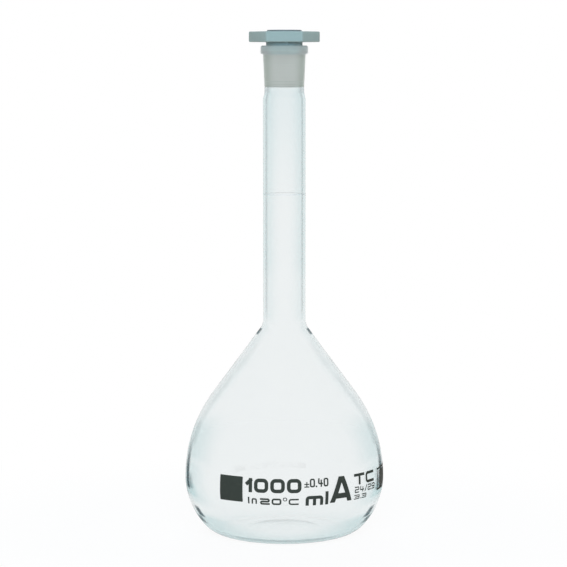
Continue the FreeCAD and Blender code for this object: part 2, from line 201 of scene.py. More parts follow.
glass = {
    "wall": 1.56 * mm,
    "footInset": 25.6 * mm,  # from the widest circle in to the foot ring
    "footWidth": 6 * mm,
    "puntDepth": 2.5 * mm,
    "puntEntry": 60 * mm,
    "heel": 18.9 * mm,
    "flank": 44.7 * mm,
    "shoulder": 89 * mm,
    "coneAngle": math.radians(36.4),
    "seal": 10 * mm,
    "mouthRadius": 12 * mm,
    "taper": 0.1,  # on the diameter
    "groundLength": 29 * mm,
    "groundMargin": 3.2 * mm,  # the bend at the waist stays clear
    "blendHeight": 4 * mm,
    "waistWall": 1.75 * mm,
    "mouthWall": 1.6 * mm,
    "waistRounding": 12 * mm,
    "rimHeight": 5.35 * mm,
    "rimRounding": 1.1 * mm,
    "mouthRounding": 0.6 * mm,
    "turnSteps": 192,
    "puntStep": math.radians(1),  # the wide bends are cut finer
    "shoulderStep": math.radians(1.5),
    "index": 1.473,
    "melt": (rgb(0.95, 0.96, 0.96), rgb(0.964, 0.97, 0.971)),
    "tubeMelt": (rgb(0.905, 0.936, 0.941), rgb(0.92, 0.947, 0.952)),  # greyer under the socket
    "socketMelt": (rgb(0.985, 0.995, 0.995), pureWhite),  # the socket is paler
    "tubeFade": (205 * mm, 285 * mm),
    "socketFade": 1 * mm,  # above and below the foot of the ground face
    "waveFade": (50 * mm, 95 * mm),  # the drawn tube is smoother than the bulb
    "rubbed": (0.05 * mm, 0.4 * mm),  # the ring that rubs on the bench
    "greenEdge": rgb(0.2, 0.53, 0.55),
    "darkEdge": rgb(0.04, 0.085, 0.1),
    "bodyColour": rgb(0.0, 0.26, 0.31),
    "bodyDensity": 24.0,
    # Painted shade along the outlines: seen edge on, a wall is made to look dark or green, in place of the
    # dark surroundings seen through its edges, the green partly the glass's own colour over the long path;
    # each row has heights and depths inside the outline, both in millimetres, and a strength
    "darkBands": [
        ((14, 15.5, 19.5, 22), (0.8, 1.7, 2.4, 3.4), 0.82),  # heel
        ((9, 11, 13.5, 15), (0, 0.5, 0.9, 1.9), 0.7),  # lower half of it
        ((30, 32.5, 40, 68), (0.3, 1.1, 1.7, 2.7), 0.88),  # widest part
        ((31, 33, 37, 44), (0.6, 1.5, 2.6, 5), 0.5),  # lower half of it
        ((0.05, 0.2, 3, 8), (0.4, 1.5, 2.5, 5), 0.1),  # foot of the heel
        ((2.4, 3.3, 4.5, 5.5), (1.4, 3.2, 5.0, 6.4), 0.29),  # line along it
        ((126, 127, 129.7, 130.7), (-1, 0, 0.7, 1.5), 0.78),  # seal of the neck
        ((56, 62, 70, 78), (1.2, 2.2, 2.8, 4.6), 0.16),  # foot of the cone
        ((68, 78, 98, 108), (1.8, 2.7, 3.1, 4.8), 0.11),  # cone
        ((98, 108, 118, 126), (2.0, 3.0, 3.5, 5.2), 0.07),  # upper half of it
        ((134, 146, 275, 285), (1.1, 1.7, 2.1, 2.9), 0.14),  # neck
        ((276, 278.5, 280.4, 281.4), (-1, 0, 2, 4), 0.2),  # waist under the socket
    ],
    "innerBands": [  # the same for the inside of the wall
        ((30, 34, 45, 70), (-1, 0, 0.2, 1.3), 0.3),  # bulb
        ((6, 14, 118, 130), (-1, 0, 0.2, 1.3), 0.05),  # heel and cone
        ((130, 142, 280, 290), (-1, 0, 0.2, 1.3), 0.12),  # neck
    ],
    "greenBands": [
        ((0.05, 0.3, 14, 20), (-1, 0, 2.5, 16), 0.29),  # base and heel
        ((0.05, 0.3, 14, 26), (-1, 0, 8, 30), 0.06),  # further in
        ((24, 29, 34, 40), (-1, 0, 2.5, 9), 0.43),  # under the widest part
        ((20, 28, 44, 60), (-1, 0, 2, 14), 0.24),  # widest part
        ((44, 54, 66, 84), (-1, 0, 2.5, 17), 0.25),  # flank above it
        ((62, 74, 110, 120), (-1, 0, 3, 7), 0.08),  # cone
        ((110, 120, 132, 138), (-1, 0, 2, 4.5), 0.09),  # seal
        ((132, 138, 275, 285), (-1, 0, 3, 7), 0.07),  # neck
        ((148, 172, 275, 285), (-1, 0, 3, 7), 0.12),  # upper part of it
    ],
}
bulbRadius = bulbBox[1].x
neckRadius = neckBox[1].x
socketBase = neckBox[1].z
waistHeight = socketBase + glass["blendHeight"]
mouthTop = socketBox[1].z
groundFoot = mouthTop - glass["groundLength"] + glass["groundMargin"]
rimRadius = socketBox[1].x
footOuter = bulbRadius - glass["footInset"]
heelTurn = math.asin((footOuter + glass["flank"] - bulbRadius) / (glass["flank"] - glass["heel"]))
equator = glass["heel"] + (glass["flank"] - glass["heel"]) * math.cos(heelTurn)


def drawBulbWall(bm, inset):
    footInner = footOuter - glass["footWidth"]
    puntTurn = 2 * math.atan(glass["puntDepth"] / footInner)
    puntDome = footInner / math.sin(puntTurn) - glass["puntEntry"]
    cone = glass["coneAngle"]
    gather = 1 - math.cos(cone)  # how far an arc of the cone's angle pulls in, for each unit of radius
    fall = bulbRadius - neckRadius - (glass["shoulder"] + glass["seal"]) * gather
    tip = bm.verts.new((0, 0, glass["puntDepth"] + inset))
    tip = bendOn(bm, tip, 0, puntDome + inset, -puntTurn, glass["puntStep"])
    tip = bendOn(bm, tip, -puntTurn, glass["puntEntry"] - inset, puntTurn, glass["puntStep"])
    tip = runOn(bm, tip, 0, glass["footWidth"])
    tip = bendOn(bm, tip, 0, glass["heel"] - inset, heelTurn)
    tip = bendOn(bm, tip, heelTurn, glass["flank"] - inset, math.pi / 2 - heelTurn)
    tip = bendOn(bm, tip, math.pi / 2, glass["shoulder"] - inset, cone, glass["shoulderStep"])
    tip = runOn(bm, tip, math.pi / 2 + cone, fall / math.sin(cone))
    tip = bendOn(bm, tip, math.pi / 2 + cone, glass["seal"] + inset, -cone)
    return runTo(bm, tip, neckRadius - inset, socketBase)


def drawGroundSocket(bm, outer, outerTip, innerTip):
    waistBore = glass["mouthRadius"] - glass["taper"] / 2 * glass["groundLength"]
    rimFoot = mouthTop - glass["rimHeight"]
    underRim = glass["mouthRadius"] - glass["taper"] / 2 * glass["rimHeight"] + glass["mouthWall"]
    waist = runTo(bm, outerTip, waistBore + glass["waistWall"], waistHeight)
    tuck = runTo(bm, waist, underRim, rimFoot)
    rimLow = runTo(bm, tuck, rimRadius, rimFoot)
    rimHigh = runTo(bm, rimLow, rimRadius, mouthTop)
    mouth = runTo(bm, rimHigh, glass["mouthRadius"], mouthTop)
    throat = runTo(bm, mouth, waistBore, waistHeight)
    throat[outer] = 0.0  # from here down it is the inside of the wall
    runTo(bm, throat, *innerTip.co.xz)
    for corner, radius in (
        (waist, glass["waistRounding"]),
        (throat, glass["waistRounding"]),
        (rimLow, glass["rimRounding"]),
        (rimHigh, glass["rimRounding"]),
        (mouth, glass["mouthRounding"]),
    ):
        roundCorner(bm, corner, radius)


def bandShade(wire, height, inside, bands):
    shade = 0.0
    for heights, depths, level in bands:
        shade = wire.maths("MAXIMUM", level * height.hump(*heights) * inside.hump(*depths), shade)
    return shade


def edgeShades(wire, spot):  # painted shade and green tint: how dark and how green the wall is made to look where the eye meets it edge on
    height = spot["Z"] * (1 / mm)
    reach = wire.maths("SQRT", spot["X"] * spot["X"] + spot["Y"] * spot["Y"]) * (1 / mm)
    turned = 1 - wire.node("ShaderNodeLayerWeight", {}, {"Blend": 0.5}, out="Facing")
    inside = 0.5 * reach * turned * turned  # about how far inside the outline this is seen
    outer = wire.node("ShaderNodeAttribute", {"attribute_name": "outerWall"}, out="Fac")
    dark = outer * bandShade(wire, height, inside, glass["darkBands"])
    dark += (1 - outer) * bandShade(wire, height, inside, glass["innerBands"])
    return dark, outer * bandShade(wire, height, inside, glass["greenBands"])


def blownGlass():
    material, wire, place = newMaterial("blownGlass")
    spot = wire.node("ShaderNodeSeparateXYZ", {}, {0: place})
    height = spot["Z"]
    standing = height.ramp(*glass["rubbed"], 1, 0)
    scuffs = wire.noise(place, scale=900, detail=5).ramp(0.5, 0.75)
    streaks = wire.noise(place, scale=35, detail=2)  # slow changes of the melt
    bulb, tube, socket = (streaks.tint(*glass[name]) for name in ("melt", "tubeMelt", "socketMelt"))
    belowSocket = height.ramp(*glass["tubeFade"]).tint(bulb, tube)
    socketward = height.ramp(groundFoot - glass["socketFade"], groundFoot + glass["socketFade"])
    blown = height.ramp(*glass["waveFade"], 1, 0)
    waves = (wire.noise(place, scale=28, detail=1.5) * blown).bump(strength=0.04, distance=0.6 * mm)
    clear = wire.node("ShaderNodeBsdfPrincipled", {}, {
        "Base Color": socketward.tint(belowSocket, socket),
        "Roughness": standing * (0.01 + 0.05 * scuffs),
        "IOR": glass["index"],
        "Transmission Weight": 1.0,
        "Normal": waves,
    })
    edge = {"Roughness": 0.0, "IOR": glass["index"], "Normal": waves}
    # painted shade: dark and green refraction mixed in along the outlines
    green = wire.node("ShaderNodeBsdfRefraction", {}, edge | {"Color": glass["greenEdge"]})
    dark = wire.node("ShaderNodeBsdfRefraction", {}, edge | {"Color": glass["darkEdge"]})
    darkShare, greenShare = edgeShades(wire, spot)
    surface = wire.node("ShaderNodeMixShader", {}, {0: greenShare, 1: clear, 2: green})
    surface = wire.node("ShaderNodeMixShader", {}, {0: darkShare, 1: surface, 2: dark})
    body = wire.node("ShaderNodeVolumeAbsorption", {},
                     {"Color": glass["bodyColour"], "Density": glass["bodyDensity"]})
    closeMaterial(wire, surface, body)
    return material


def makeGlass():
    bm = bmesh.new()
    outer = bm.verts.layers.float.new("outerWall")
    outerTip = drawBulbWall(bm, 0)
    for vert in bm.verts:
        vert[outer] = float(vert.co.x >= footOuter - weldGap or vert.co.z > equator)  # not under the foot
    innerTip = drawBulbWall(bm, glass["wall"])
    drawGroundSocket(bm, outer, outerTip, innerTip)
    bmesh.ops.remove_doubles(bm, verts=bm.verts, dist=weldGap)
    spinSection(bm, glass["turnSteps"])
    makePiece("glass_body", bm, blownGlass(), "flask", "clear_glass", "bulb", "neck", "ground_socket")


# Ground face: the matt tapered inside of the socket, a skin on the glass that scatters light
groundFace = {
    "sunk": 0.03 * mm,
    "proud": 0.02 * mm,  # less than the gap to the plug
    "topMargin": 1 * mm,  # the rounded mouth stays clear
    "turnSteps": 128,
    "ringStart": 0.5 * mm,  # rings that the grinding left at the foot
    "ringPitch": 1.5 * mm,
    "ringReach": (3.6 * mm, 4.3 * mm),
    "rimBlend": (6.5 * mm, 4.5 * mm),  # under the mouth, where the thick glass of the rim begins
    "lipBlend": (4.5 * mm, 1.5 * mm),
    "colours": (  # of the sleeve and behind the rim, seen straight on and at a slant; the slanted pair is painted shade and light, the sleeve darker and the rim lighter towards the sides
        (rgb(0.95, 1, 0.97), rgb(0.84, 1, 1)),
        (rgb(0.66, 0.74, 0.67), rgb(0.75, 0.8, 0.79)),
    ),
    # painted shade, darker and bluer towards the mouth, under the stopper's head
    "lipColour": rgb(0.43, 0.64, 0.68),
    "ringColour": rgb(0.78, 0.86, 0.82),
    "slant": (0.04, 0.27),
}


def groundGlass():
    material, wire, place = newMaterial("groundGlass")
    height = wire.node("ShaderNodeSeparateXYZ", {}, {0: place})["Z"]
    grit = wire.noise(place, scale=3000)
    cloud = wire.noise(place, scale=130)
    rings = wire.node("ShaderNodeTexNoise", {"noise_dimensions": "1D"},
                      {"W": height, "Scale": 1100, "Detail": 2})
    rimward, lipward = (height.ramp(mouthTop - low, mouthTop - high)
                        for low, high in (groundFace["rimBlend"], groundFace["lipBlend"]))
    ringTurn = (height - (groundFoot + groundFace["ringStart"])) * (fullTurn / groundFace["ringPitch"])
    nearFoot = (height - groundFoot).ramp(*groundFace["ringReach"], 1, 0)
    footRings = nearFoot * wire.maths("COSINE", ringTurn).ramp(0, 1)
    allRings = 0.15 * rings.ramp(0.5, 0.75) + 0.7 * footRings
    litAndShaded = []
    for sleeve, rim in groundFace["colours"]:
        clouded = (0.1 * cloud).tint(sleeve, pureWhite)
        # painted shade towards the mouth
        lipShaded = (0.3 * lipward).tint(rim, groundFace["lipColour"])
        litAndShaded.append(wire.node("ShaderNodeBsdfPrincipled", {}, {
            "Base Color": allRings.tint(rimward.tint(clouded, lipShaded), groundFace["ringColour"]),
            "Roughness": 0.5 + 0.12 * grit + 0.1 * rings,
            "IOR": glass["index"],
            "Transmission Weight": 0.02,
            "Normal": (grit + rings).bump(strength=0.3, distance=0.03 * mm),
        }))
    # painted shade and light towards the sides of the ground face, by how squarely it is seen
    slant = wire.node("ShaderNodeLayerWeight", {}, {"Blend": 0.5}, out="Facing").ramp(*groundFace["slant"])
    closeMaterial(wire, wire.node("ShaderNodeMixShader", {}, {0: slant, 1: litAndShaded[0], 2: litAndShaded[1]}))
    return material


def makeGroundFace():
    corners = []
    high = mouthTop - groundFace["topMargin"]
    for height, out in ((groundFoot, False), (groundFoot, True), (high, True), (high, False)):
        bore = glass["mouthRadius"] - glass["taper"] / 2 * (mouthTop - height)
        corners.append((bore + groundFace["sunk"] if out else bore - groundFace["proud"], height))
    bm = bmesh.new()
    closedSection(bm, corners)
    spinSection(bm, groundFace["turnSteps"])
    makePiece("ground_face", bm, groundGlass(), "flask", "clear_glass")


makeGlass()
makeGroundFace()


# Marks: fired enamel, let a little into the glass so that no air lies between them
marks = {
    "sunk": 0.03 * mm,
    "proud": 0.05 * mm,
    "cell": 1.5 * mm,  # the flat print is cut this fine before it is bent round the bulb
    "squareTurn": math.radians(-31.5),  # to the left of the front
    "squareWidth": 16.4 * mm,
    "blockRounding": 0.5 * mm,
    "spare": 0.002 * mm,  # strokes that already end level are left as they are
    "bendShare": 0.48,  # of the shortest stroke, so that two rounded corners never meet
    "dark": (rgb(0.042, 0.043, 0.033), rgb(0.057, 0.058, 0.044)),
    "pale": (rgb(0.88, 0.9, 0.91), rgb(0.94, 0.95, 0.96)),
    "paleCover": 0.15,
}


def wrapOnBulb(bm):
    for vert in bm.verts:  # across is a length along the widest circle, up a length along the curve from it
        across, up, out = vert.co
        arc = glass["shoulder"] if up > 0 else glass["flank"]
        climb = up / arc
        reach = bulbRadius - arc + (arc + out) * math.cos(climb)
        turn = across / bulbRadius
        vert.co = (reach * math.sin(turn), -reach * math.cos(turn), equator + (arc + out) * math.sin(climb))


def cutIntoCells(bm):
    for axis in (Vector((1, 0, 0)), Vector((0, 1, 0))):
        spots = [vert.co.dot(axis) for vert in bm.verts]
        low, high = min(spots), max(spots)
        cuts = math.ceil((high - low) / marks["cell"])
        for cut in range(1, cuts):
            bmesh.ops.bisect_plane(bm, geom=bm.verts[:] + bm.edges[:] + bm.faces[:], dist=weldGap,
                                   plane_co=axis * (low + (high - low) * cut / cuts), plane_no=axis)


def firedEnamel(name, dark, light, cover=1.0):
    material, wire, place = newMaterial(name)
    cloud = wire.noise(place, scale=260, detail=4)
    specks = wire.noise(place, scale=3800, detail=2)
    pits = wire.noise(place, scale=5200, detail=1).ramp(0.68, 0.8)  # pinholes of the screen print
    surface = wire.node("ShaderNodeBsdfPrincipled", {}, {
        "Base Color": (cloud * 0.7 + specks * 0.3).tint(dark, light),
        "Roughness": 0.36 + 0.2 * cloud + 0.2 * pits,
        "Specular IOR Level": 0.02,
        "Alpha": cover,
        "Normal": (specks * 0.6 - pits).bump(strength=0.25, distance=0.03 * mm),
    })
    closeMaterial(wire, surface)
    return material


darkEnamel = firedEnamel("darkEnamel", *marks["dark"])
paleEnamel = firedEnamel("paleEnamel", *marks["pale"], marks["paleCover"])


def raiseFlat(bm):  # a flat sheet in the print's plane gets the enamel's thickness
    bmesh.ops.translate(bm, vec=(0, 0, -marks["sunk"]), verts=bm.verts)
    top = bmesh.ops.extrude_face_region(bm, geom=bm.faces[:])
    liftNew(bm, top, marks["sunk"] + marks["proud"])


def makeBlock(name, left, right, low, high, *nodes):
    bm = bmesh.new()
    bmesh.ops.create_grid(bm, x_segments=1, y_segments=1, size=0.5)
    bmesh.ops.scale(bm, vec=(right - left, high - low, 1), verts=bm.verts)
    bmesh.ops.bevel(bm, geom=bm.verts[:], offset=marks["blockRounding"], offset_type="OFFSET", segments=4,
                    profile=0.5, affect="VERTICES", material=-1)
    bmesh.ops.translate(bm, vec=((left + right) / 2, (low + high) / 2, 0), verts=bm.verts)
    raiseFlat(bm)
    cutIntoCells(bm)
    wrapOnBulb(bm)
    makePiece(name, bm, darkEnamel, "flask", "dark_enamel", *nodes)


def makeSquare():
    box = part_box("marking_patch")
    low = -glass["flank"] * math.asin((equator - box[0].z) / glass["flank"])
    high = glass["shoulder"] * math.asin((box[1].z - equator) / glass["shoulder"])
    middle, half = marks["squareTurn"] * bulbRadius, marks["squareWidth"] / 2
    makeBlock("marking_square", middle - half, middle + half, low, high, "marking_patch")


def makeRing():
    low, high = (corner.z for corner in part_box("graduation_ring"))
    inside = neckRadius - marks["sunk"]
    outside = neckRadius + marks["proud"]
    bm = bmesh.new()
    closedSection(bm, [(inside, low), (outside, low), (outside, high), (inside, high)])
    spinSection(bm, glass["turnSteps"])
    makePiece("volume_ring", bm, paleEnamel, "flask", "pale_enamel", "graduation_ring")


makeSquare()
makeRing()

# Print: plain squared figures, drawn as pen strokes in a box of width and height 1
strokes = {
    "0": [[(0, 0), (1, 0), (1, 1), (0, 1), (0, 0)]],
    "1": [[(1, 0), (1, 1)], [(0.1, 0.68), (1, 0.98)]],
    "2": [[(0, 1), (1, 1), (1, 0.5), (0, 0.5), (0, 0), (1, 0)]],
    "3": [[(0, 1), (1, 1), (1, 0), (0, 0)], [(0.2, 0.5), (1, 0.5)]],
    "4": [[(0.1, 1), (0, 0.36), (1, 0.36)], [(0.74, 0.8), (0.74, 0)]],
    "9": [[(1, 0.45), (0, 0.45), (0, 1), (1, 1), (1, 0), (0, 0)]],
    ".": [[(0, 0), (0.001, 0)]],
    "/": [[(-0.1, -0.1), (1.1, 1.1)]],
    "+-": [[(0, 0), (1, 0)], [(0, 0.6), (1, 0.6)], [(0.5, 1), (0.5, 0.2)]],
    "A": [[(-0.1, -0.25), (0.42, 1), (0.58, 1), (1.1, -0.25)], [(0.2, 0.18), (0.8, 0.18)]],
    "C": [[(1, 1), (0, 1), (0, 0), (1, 0)]],
    "I": [[(0, 0), (0, 1)]],
    "T": [[(0, 1), (1, 1)], [(0.5, 1), (0.5, 0)]],
    "l": [[(0, 0), (0, 1)]],
    "m": [[(0, 0), (0, 0.64), (1, 0.64), (1, 0)], [(0.5, 0.64), (0.5, 0)]],
    "n": [[(0, 0), (0, 0.8), (1, 0.8), (1, 0)]],
}
shares = {"1": 0.34, "/": 0.5, "m": 1.5, ".": 0, "I": 0, "l": 0}  # of a usual figure's width

lines = [  # turns are degrees to the right of the front, lengths are millimetres, up from the widest circle
    {"name": "capacity", "signs": "1000", "turns": (-22.4, 9.6), "heights": (0.2, 8.9),
     "stroke": 2.25, "gap": 1.2, "rounding": 2.0},
    {"name": "tolerance_sign", "signs": ["+-"], "turns": (11.2, 14.1), "heights": (3.4, 6.8),
     "stroke": 0.7, "gap": 0.5, "rounding": 0},
    {"name": "tolerance", "signs": "0.40", "turns": (14.4, 25.5), "heights": (3.4, 8.7),
     "stroke": 0.95, "gap": 0.45, "rounding": 0.8},
    {"name": "delivery", "signs": "In", "turns": (-20.8, -15.5), "heights": (-6.9, -2.7),
     "stroke": 0.95, "gap": 1.4, "rounding": 0.7},
    {"name": "temperature", "signs": "20", "turns": (-13.7, -1.6), "heights": (-7.2, -3.1),
     "stroke": 1.1, "gap": 1.1, "rounding": 1.0},
    {"name": "degree_ring", "signs": "0", "turns": (-0.8, 1.6), "heights": (-4.8, -2.5),
     "stroke": 0.5, "gap": 0, "rounding": 0.8},
    {"name": "degree_scale", "signs": "C", "turns": (2.4, 8.1), "heights": (-7.2, -3.3),
     "stroke": 0.95, "gap": 0, "rounding": 1.1},
    {"name": "unit", "signs": "ml", "turns": (12.0, 25.5), "heights": (-7.9, 0.4),
     "stroke": 2.05, "gap": 1.4, "rounding": 1.2},
    {"name": "accuracy_class", "signs": "A", "turns": (27.2, 41.0), "heights": (-7.2, 8.7),
     "stroke": 3.3, "gap": 0, "rounding": 0},
    {"name": "contained", "signs": "TC", "turns": (43.4, 62.5), "heights": (1.7, 8.7),
     "stroke": 1.7, "gap": 1.3, "rounding": 1.6},
    {"name": "joint_size", "signs": "24/29", "turns": (43.8, 63.5), "heights": (-3.2, 0.7),
     "stroke": 0.7, "gap": 0.85, "rounding": 0.5},
    {"name": "expansion", "signs": "3.3", "turns": (43.6, 54.5), "heights": (-7.3, -4.4),
     "stroke": 0.6, "gap": 0.8, "rounding": 0.3},
    {"name": "box_frame", "signs": "0", "turns": (67.6, 97.0), "heights": (-5.6, 8.4),
     "stroke": 1.1, "gap": 0, "rounding": 0},
]
boxPanel = {"turns": (72.0, 93.0), "heights": (-3.6, 6.4)}


def penPath(bm, points, stroke, rounding):
    closed = points[0] == points[-1]
    spots = [Vector((x, y, 0)) for x, y in points]
    if not closed:  # square ends reach half a stroke further
        spots[0] += (spots[0] - spots[1]).normalized() * stroke / 2
        spots[-1] += (spots[-1] - spots[-2]).normalized() * stroke / 2
    drawn = [bm.verts.new(spots[0])]
    for spot in spots[1:-1] if closed else spots[1:]:
        tip = bmesh.ops.extrude_vert_indiv(bm, verts=[drawn[-1]])["verts"][0]
        tip.co = spot
        drawn.append(tip)
    if closed:
        bm.edges.new((drawn[-1], drawn[0]))
    corners = drawn if closed else drawn[1:-1]
    shortest = min((first - second).length for first, second in zip(spots, spots[1:]))
    offset = min(rounding, marks["bendShare"] * shortest)
    if corners and offset > 0:
        bmesh.ops.bevel(bm, geom=corners, offset=offset, offset_type="OFFSET", segments=6, profile=0.5,
                        affect="VERTICES", material=-1)


def drawLine(line):
    stroke, gap, rounding = (line[name] * mm for name in ("stroke", "gap", "rounding"))
    left, right = (math.radians(turn) * bulbRadius for turn in line["turns"])
    low, high = (height * mm for height in line["heights"])
    parts = [shares.get(sign, 1) for sign in line["signs"]]
    free = right - left - gap * (len(parts) - 1) - stroke * len(parts)
    width = free / sum(parts)  # of a usual figure, between the middles of its strokes
    bm = bmesh.new()
    x, y = left + stroke / 2, low + stroke / 2
    for sign, part in zip(line["signs"], parts):
        for points in strokes[sign]:
            across = part * width or mm  # a sign of no width still needs a scale
            placed = [(x + px * across, y + py * (high - low - stroke)) for px, py in points]
            penPath(bm, placed, stroke, rounding)
        x += part * width + stroke + gap
    bmesh.ops.translate(bm, vec=(0, 0, -marks["sunk"]), verts=bm.verts)
    wall = bmesh.ops.extrude_edge_only(bm, edges=bm.edges[:])
    liftNew(bm, wall, marks["sunk"] + marks["proud"])
    bm = thicken(bm, stroke)
    trimLevel(bm, low, high)
    return bm


def thicken(bm, thickness):  # the pen's path, standing as a thin wall, widened to the stroke on both sides
    bmesh.ops.recalc_face_normals(bm, faces=bm.faces)
    mesh = bpy.data.meshes.new("penPath")
    bm.to_mesh(mesh)
    bm.free()
    holder = bpy.data.objects.new("penPath", mesh)
    scene.collection.objects.link(holder)
    widen = holder.modifiers.new("widen", "SOLIDIFY")
    widen.thickness = thickness
    widen.offset = 0
    widen.use_even_offset = True
    widened = bpy.data.meshes.new_from_object(holder.evaluated_get(bpy.context.evaluated_depsgraph_get()))
    bpy.data.objects.remove(holder)
    bm = bmesh.new()
    bm.from_mesh(widened)
    return bm


def trimLevel(bm, low, high):  # slanted strokes end flat on the line's foot and top
    for height, side in ((low - marks["spare"], -1), (high + marks["spare"], 1)):
        bmesh.ops.bisect_plane(bm, geom=bm.verts[:] + bm.edges[:] + bm.faces[:], dist=weldGap,
                               plane_co=(0, height, 0), plane_no=(0, side, 0), clear_outer=True)
        bmesh.ops.holes_fill(bm, edges=[edge for edge in bm.edges if edge.is_boundary])


def makePrint():
    for line in lines:
        bm = drawLine(line)
        cutIntoCells(bm)
        wrapOnBulb(bm)
        makePiece("print_" + line["name"], bm, darkEnamel, "flask", "dark_enamel")
    left, right = (math.radians(turn) * bulbRadius for turn in boxPanel["turns"])
    makeBlock("print_box_panel", left, right, *(height * mm for height in boxPanel["heights"]))


makePrint()


# Stopper: one moulding, a tapered plug under a hexagonal head, with a well open at the top
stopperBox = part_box("stopper")
stopper = {
    "clearance": 0.06 * mm,  # between the plug and the ground socket
    "plugRounding": 0.8 * mm,
    "reliefDepth": 0.6 * mm,
    "headGap": 2.2 * mm,
    "headThickness": 6.5 * mm,
    "cornerRounding": 1.4 * mm,
    "headRounding": 0.7 * mm,
    "bossWall": 2.75 * mm,
    "bossRounding": 0.6 * mm,
    "wellWall": 2.6 * mm,
    "wellFloor": 3 * mm,
    "softEdge": 0.3 * mm,
    "ribWidth": 3 * mm,  # where the halves of the mould meet, in the relief under the head
    "ribDepth": 2.2 * mm,
    "ribShift": 0.7 * mm,
    "ribGap": 0.3 * mm,  # over the glass
    "turnSteps": 96,
    "plastic": (rgb(0.305, 0.365, 0.323), rgb(0.365, 0.423, 0.377)),
    "wornColour": rgb(0.43, 0.475, 0.41),
    "dustColour": rgb(0.1, 0.105, 0.12),  # painted shade on the side of the raised ring
    "dustInset": (0.6 * mm, 0.2 * mm),
    "dustHeight": 0.4 * mm,
    "recessColour": rgb(0.39, 0.53, 0.55),  # painted shade: the plastic in the head's shade is tinted bluer
    "recessStart": (0.8 * mm, 0.2 * mm),  # below the mouth
    "recessFade": 0.1 * mm,
}
headFoot = mouthTop + stopper["headGap"]
headTop = headFoot + stopper["headThickness"]
plugMouth = glass["mouthRadius"] - stopper["clearance"]
plugEnd = plugMouth - glass["taper"] / 2 * (mouthTop - stopperBox[0].z)
relief = plugMouth - stopper["reliefDepth"]
wellRadius = plugEnd - stopper["wellWall"]
bossRadius = wellRadius + stopper["bossWall"]


def drawPlug(bm):
    tip = bm.verts.new((0, 0, stopperBox[0].z))
    end = runTo(bm, tip, plugEnd, stopperBox[0].z)
    mouth = runTo(bm, end, plugMouth, mouthTop)
    step = runTo(bm, mouth, relief, mouthTop)
    runTo(bm, step, relief, headFoot)
    roundCorner(bm, end, stopper["plugRounding"])
    roundCorner(bm, mouth, stopper["softEdge"], segments=3)


def drawWell(bm):
    tip = bm.verts.new((bossRadius, 0, headTop))
    boss = runTo(bm, tip, bossRadius, stopperBox[1].z)
    lip = runTo(bm, boss, wellRadius, stopperBox[1].z)
    floor = runTo(bm, lip, wellRadius, stopperBox[0].z + stopper["wellFloor"])
    runTo(bm, floor, 0, stopperBox[0].z + stopper["wellFloor"])
    roundCorner(bm, boss, stopper["bossRounding"])
    roundCorner(bm, lip, stopper["softEdge"], segments=3)
    roundCorner(bm, floor, stopper["plugRounding"])


def drawHead():
    flats = stopperBox[1].y  # half the width over the flats, one of which faces the front
    halfSide = math.pi / 6  # half the turn from one flat to the next
    bm = bmesh.new()
    bmesh.ops.create_circle(bm, cap_ends=True, segments=6, radius=flats / math.cos(halfSide))
    bmesh.ops.rotate(bm, cent=(0, 0, 0), matrix=Matrix.Rotation(halfSide, 3, "Z"), verts=bm.verts)
    bmesh.ops.translate(bm, vec=(0, 0, headFoot), verts=bm.verts)
    top = bmesh.ops.extrude_face_region(bm, geom=bm.faces[:], use_keep_orig=True)
    liftNew(bm, top, headTop - headFoot)
    bmesh.ops.recalc_face_normals(bm, faces=bm.faces)
    upright = [edge for edge in bm.edges if climbOf(edge) > mm]
    bmesh.ops.bevel(bm, geom=upright, offset=stopper["cornerRounding"] * math.tan(halfSide),
                    offset_type="OFFSET", segments=6, profile=0.5, affect="EDGES", material=-1)
    rims = [edge for edge in bm.edges if climbOf(edge) < weldGap]
    bmesh.ops.bevel(bm, geom=rims, offset=stopper["headRounding"], offset_type="OFFSET", segments=5,
                    profile=0.5, affect="EDGES", material=-1)
    caps = [face for face in bm.faces if abs(face.normal.z) > 0.999]  # the flat top and underside
    bmesh.ops.delete(bm, geom=caps, context="FACES_ONLY")  # the collar and the raised ring join on there
    mesh = bpy.data.meshes.new("head")
    bm.to_mesh(mesh)
    bm.free()
    return mesh


def climbOf(edge):
    return abs(edge.verts[0].co.z - edge.verts[1].co.z)


def mouldedPlastic():
    material, wire, place = newMaterial("mouldedPlastic")
    cloud = wire.noise(place, scale=90)
    sparks = wire.noise(place, scale=2400)  # the fine texture of the mould
    scuffs = wire.noise(place, scale=420, detail=6, roughness=0.7).ramp(0.55, 0.75)
    spot = wire.node("ShaderNodeSeparateXYZ", {}, {0: place})
    reach = wire.maths("SQRT", spot["X"] * spot["X"] + spot["Y"] * spot["Y"])
    # painted shade: the side of the raised ring is darkened above the head's top
    aroundRing = reach.ramp(*(bossRadius - inset for inset in stopper["dustInset"]))
    ringShade = aroundRing * spot["Z"].ramp(headTop, headTop + stopper["dustHeight"])
    worn = (scuffs * 0.35).tint(cloud.tint(*stopper["plastic"]), stopper["wornColour"])
    ringShaded = (ringShade * 0.8).tint(worn, stopper["dustColour"])
    # painted shade under the head, between the mouth and the head's underside
    recessShade = spot["Z"].hump(*(mouthTop - drop for drop in stopper["recessStart"]),
                            headFoot - stopper["recessFade"], headFoot + stopper["recessFade"])
    surface = wire.node("ShaderNodeBsdfPrincipled", {"subsurface_method": "RANDOM_WALK"}, {
        "Base Color": recessShade.tint(ringShaded, stopper["recessColour"]),
        "Roughness": 0.42 + 0.14 * sparks + 0.1 * scuffs,
        "IOR": 1.51,
        "Specular IOR Level": 0.25,
        "Subsurface Weight": 0.35,
        "Subsurface Radius": (1.0, 1.15, 1.1),
        "Subsurface Scale": 2.5 * mm,
        "Normal": (sparks + cloud * 0.5).bump(strength=0.2, distance=0.05 * mm),
    })
    closeMaterial(wire, surface)
    return material


